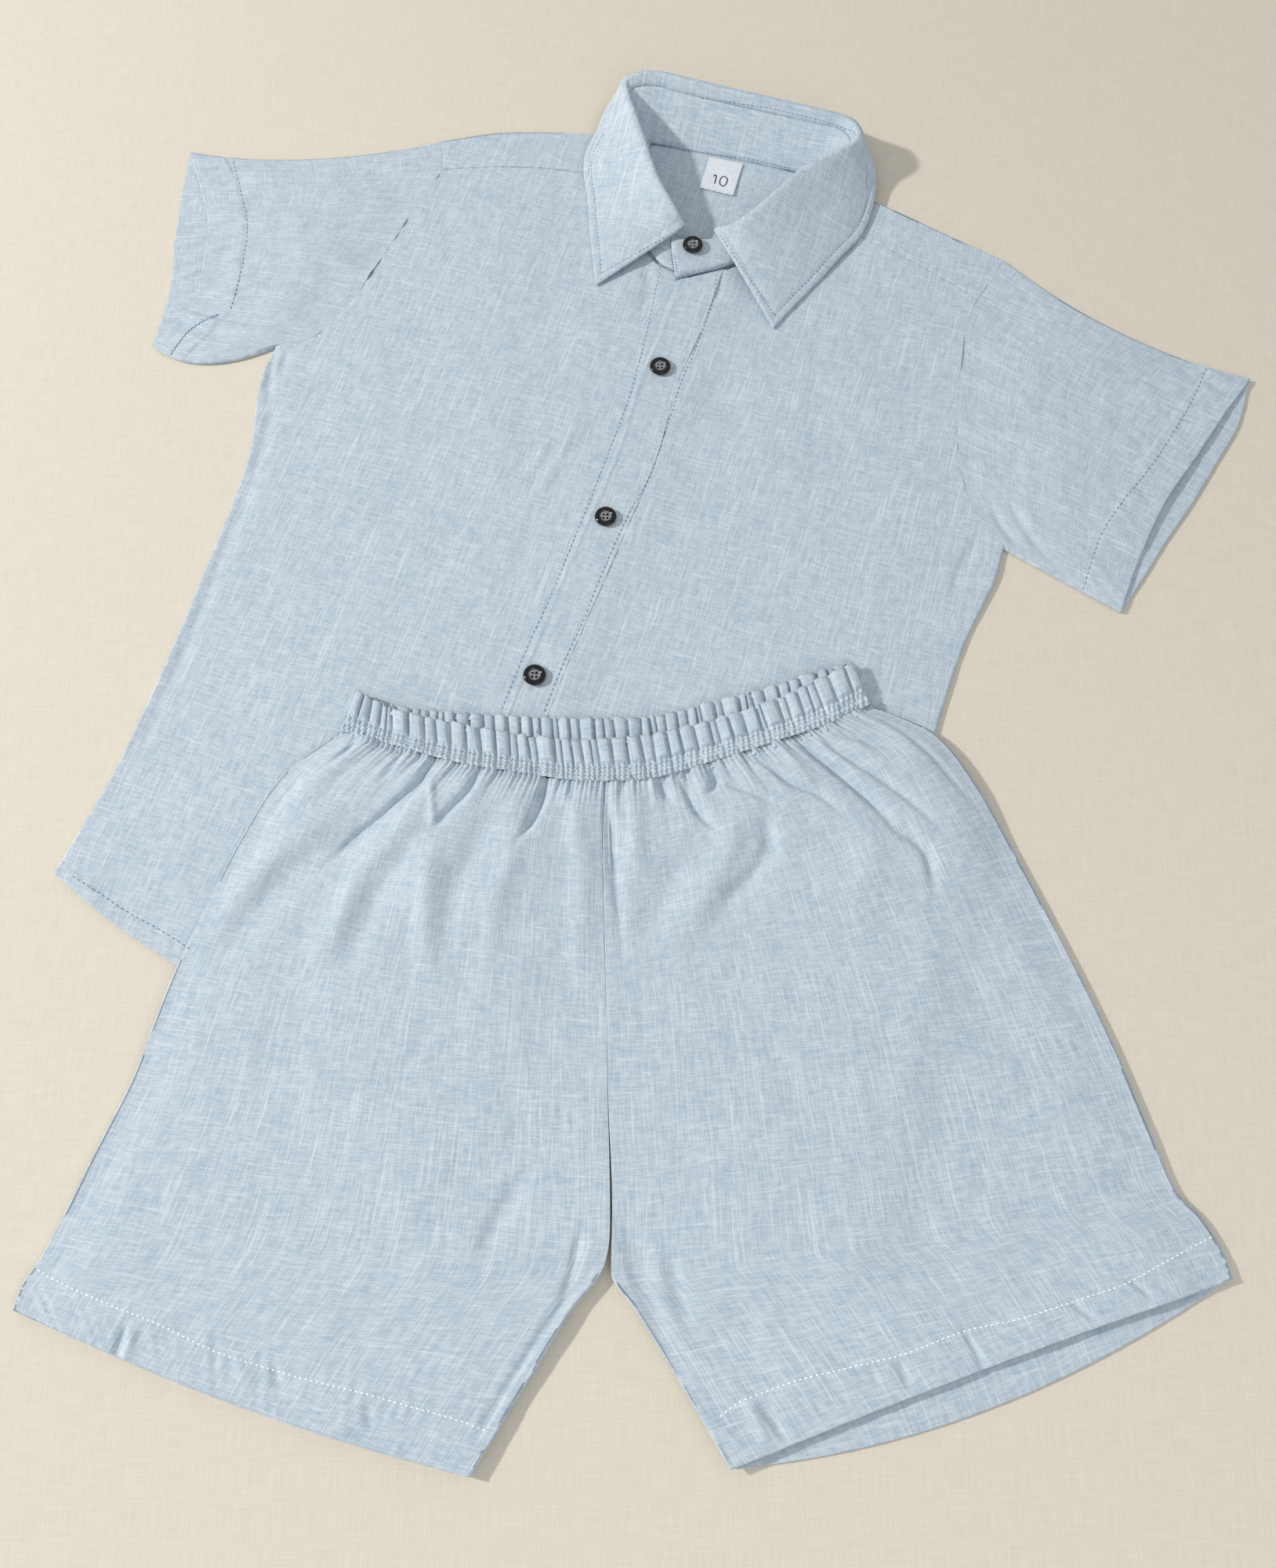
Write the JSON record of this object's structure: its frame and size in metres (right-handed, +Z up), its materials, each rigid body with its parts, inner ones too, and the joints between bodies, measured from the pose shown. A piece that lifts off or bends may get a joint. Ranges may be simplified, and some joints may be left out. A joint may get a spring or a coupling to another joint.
{
  "type": "child's shirt and shorts set",
  "caption": "Child's light blue set laid flat: a short-sleeved buttoned shirt with a standing collar, and gathered elastic-waist shorts lying on its lower half",
  "frame": {"origin": "middle of the set's outline, on the surface that it lies on", "axes": "+X to the viewer's right across the shorts, +Y up the shorts from hem to waist, +Z up away from the surface"},
  "size_m": [0.6638, 0.8084, 0.0277],
  "materials": {
    "cloth": "light blue plain weave with pale slubs both ways, matt with a faint bloom",
    "button": "glossy black rim round a smoky grey middle",
    "label": "white satin"
  },
  "bodies": {
    "root": {"shirt_back": "cloth", "shirt_yoke": "cloth", "shirt_front_right": "cloth", "shirt_front_left": "cloth", "shirt_placket": "cloth", "sleeve_right": "cloth", "sleeve_left": "cloth", "collar_stand": "cloth", "collar_fall": "cloth", "shorts_front_right": "cloth", "shorts_front_left": "cloth", "shorts_back_right": "cloth", "shorts_back_left": "cloth", "waistband_front": "cloth", "waistband_back": "cloth", "neck_label": "label", "button_1": "button", "button_2": "button", "button_3": "button", "button_4": "button", "button_5": "button"}
  },
  "joints": []
}
